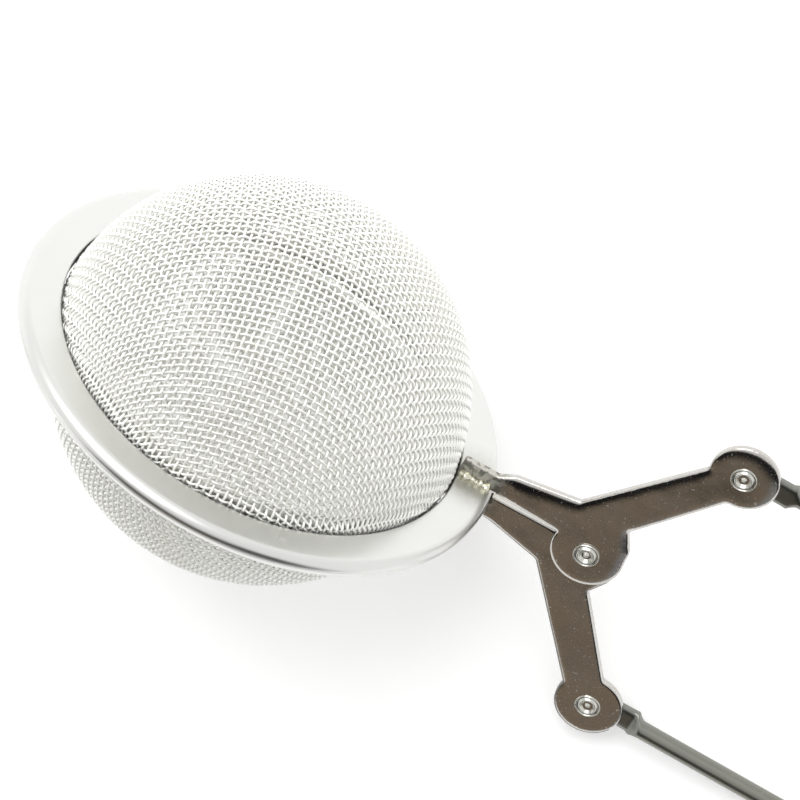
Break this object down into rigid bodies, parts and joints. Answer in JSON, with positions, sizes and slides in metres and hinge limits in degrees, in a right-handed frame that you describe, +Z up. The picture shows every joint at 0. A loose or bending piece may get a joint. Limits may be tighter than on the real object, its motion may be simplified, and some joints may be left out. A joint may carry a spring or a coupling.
{
  "type": "tea infuser",
  "caption": "Woven-mesh tea ball in two hinged halves, each in a flat steel rim, opened by squeezing a bent spring-wire handle through two riveted levers.",
  "frame": {"origin": "the centre of the bottom of the bounding box, on the table that the infuser lies on", "axes": "+Z up from the table, +X from the ball towards the handle's far bend, +Y across, with the ball's rims tilted 52 degrees from the table"},
  "size_m": [0.1564, 0.0428, 0.0434],
  "materials": {
    "rim_steel": "satin stamped stainless sheet",
    "mesh_steel": "bright woven stainless wire",
    "lever_steel": "polished stainless plate",
    "weld_steel": "rough weld bead",
    "rivet_steel": "polished tubular rivet",
    "wire_steel": "drawn spring wire"
  },
  "bodies": {
    "lower_half": {"lower_rim": "rim_steel", "lower_mesh_bowl": "mesh_steel", "lower_crimp_ring": "rim_steel", "lower_lever": "lever_steel", "lower_weld": "weld_steel", "pivot_rivet": "rivet_steel", "lower_handle_rivet": "rivet_steel"},
    "upper_half": {"upper_rim": "rim_steel", "upper_mesh_bowl": "mesh_steel", "upper_crimp_ring": "rim_steel", "upper_lever": "lever_steel", "upper_weld": "weld_steel", "upper_handle_rivet": "rivet_steel"},
    "lower_leg": {"lower_handle_leg": "wire_steel"},
    "upper_leg": {"upper_handle_leg": "wire_steel"}
  },
  "joints": [
    {"name": "ball_pivot", "type": "hinge", "parent": "lower_half", "child": "upper_half", "pos_m": [-0.01287, 0.00122, 0.01698], "axis": [-0.0642, 0.6175, -0.784], "range_deg": [0, 50], "stiffness_Nm_per_rad": 0.05, "springref_deg": -34.38},
    {"name": "lower_grip_pivot", "type": "hinge", "parent": "lower_half", "child": "lower_leg", "pos_m": [-0.00469, -0.01262, 0.0041], "axis": [-0.0642, 0.6175, -0.784], "range_deg": [0, 30]},
    {"name": "handle_bend", "type": "hinge", "parent": "lower_leg", "child": "upper_leg", "pos_m": [0.07717, 0.00185, 0.0088], "axis": [-0.0642, 0.6175, -0.784], "range_deg": [-9, 0]}
  ],
  "couplings": [
    {"joint": "lower_grip_pivot", "follows": "ball_pivot", "ratio": 0.5751},
    {"joint": "handle_bend", "follows": "ball_pivot", "ratio": -0.1501}
  ]
}
